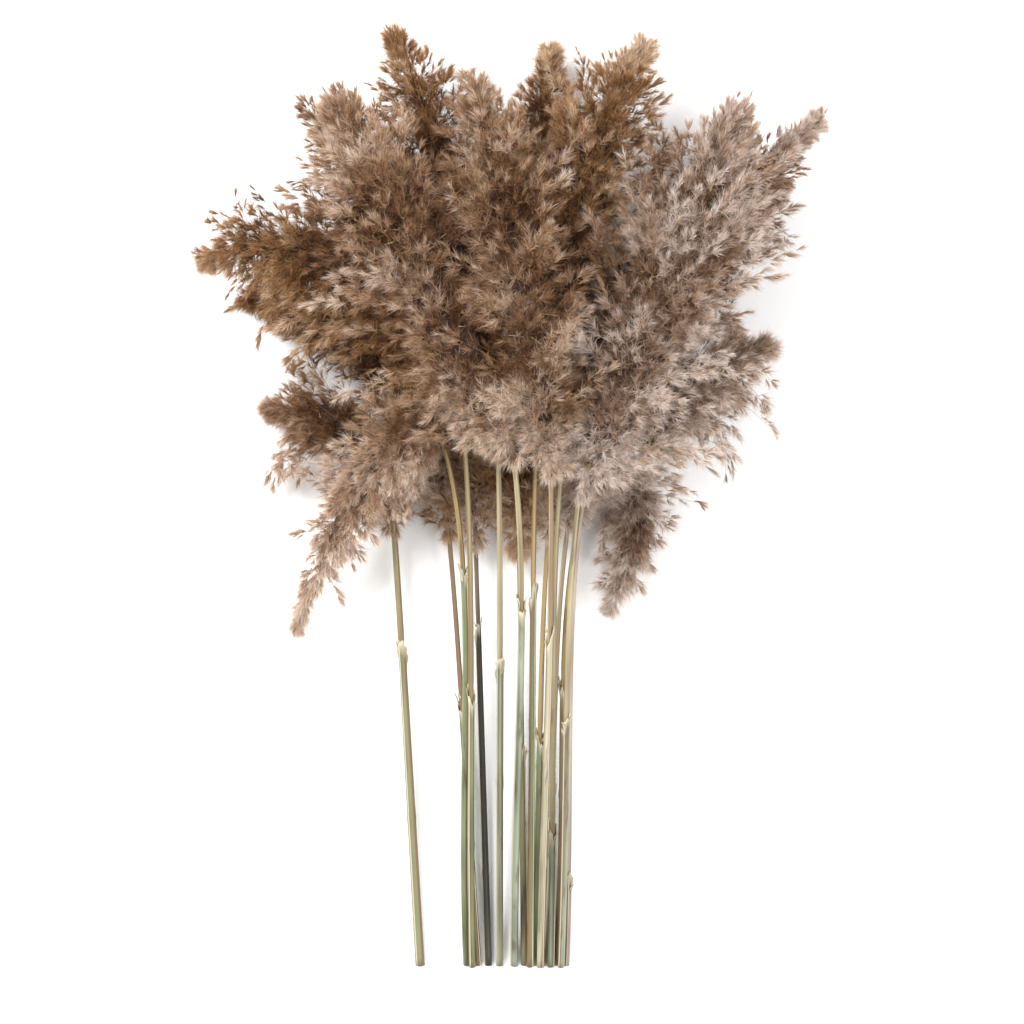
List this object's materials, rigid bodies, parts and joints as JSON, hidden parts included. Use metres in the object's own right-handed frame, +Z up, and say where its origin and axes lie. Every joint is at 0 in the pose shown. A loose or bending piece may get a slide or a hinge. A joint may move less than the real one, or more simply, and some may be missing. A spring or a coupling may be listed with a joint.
{
  "type": "bunch of dried reeds",
  "caption": "Bunch of dried common reeds with full, feathery plumes on long thin cut stems, lying on its side.",
  "frame": {"origin": "centre of the bunch's footprint, on the surface that it lies on", "axes": "+Y from the cut ends towards the plumes' tips, +X to the right as seen from above, +Z up from the table"},
  "size_m": [0.332, 0.5047, 0.1427],
  "materials": {
    "straw": "smooth dry straw with a faint gloss",
    "leaf_sheath": "dry, finely ribbed leaf sheath, satin",
    "plume": "soft matt down and chaff"
  },
  "bodies": {
    "root": {"stem_01": "straw", "sheath_01": "leaf_sheath", "plume_01": "plume", "stem_02": "straw", "sheath_02": "leaf_sheath", "plume_02": "plume", "stem_03": "straw", "sheath_03": "leaf_sheath", "plume_03": "plume", "stem_04": "straw", "sheath_04": "leaf_sheath", "plume_04": "plume", "stem_05": "straw", "sheath_05": "leaf_sheath", "plume_05": "plume", "stem_06": "straw", "sheath_06": "leaf_sheath", "plume_06": "plume", "stem_07": "straw", "sheath_07": "leaf_sheath", "plume_07": "plume", "stem_08": "straw", "sheath_08": "leaf_sheath", "plume_08": "plume", "stem_09": "straw", "sheath_09": "leaf_sheath", "plume_09": "plume", "stem_10": "straw", "sheath_10": "leaf_sheath", "plume_10": "plume", "stem_11": "straw", "sheath_11": "leaf_sheath", "plume_11": "plume", "stem_12": "straw", "sheath_12": "leaf_sheath", "plume_12": "plume", "stem_13": "straw", "sheath_13": "leaf_sheath", "plume_13": "plume", "stem_14": "straw", "sheath_14": "leaf_sheath", "plume_14": "plume", "stem_15": "straw", "sheath_15": "leaf_sheath", "plume_15": "plume", "stem_16": "straw", "sheath_16": "leaf_sheath", "plume_16": "plume"}
  },
  "joints": []
}
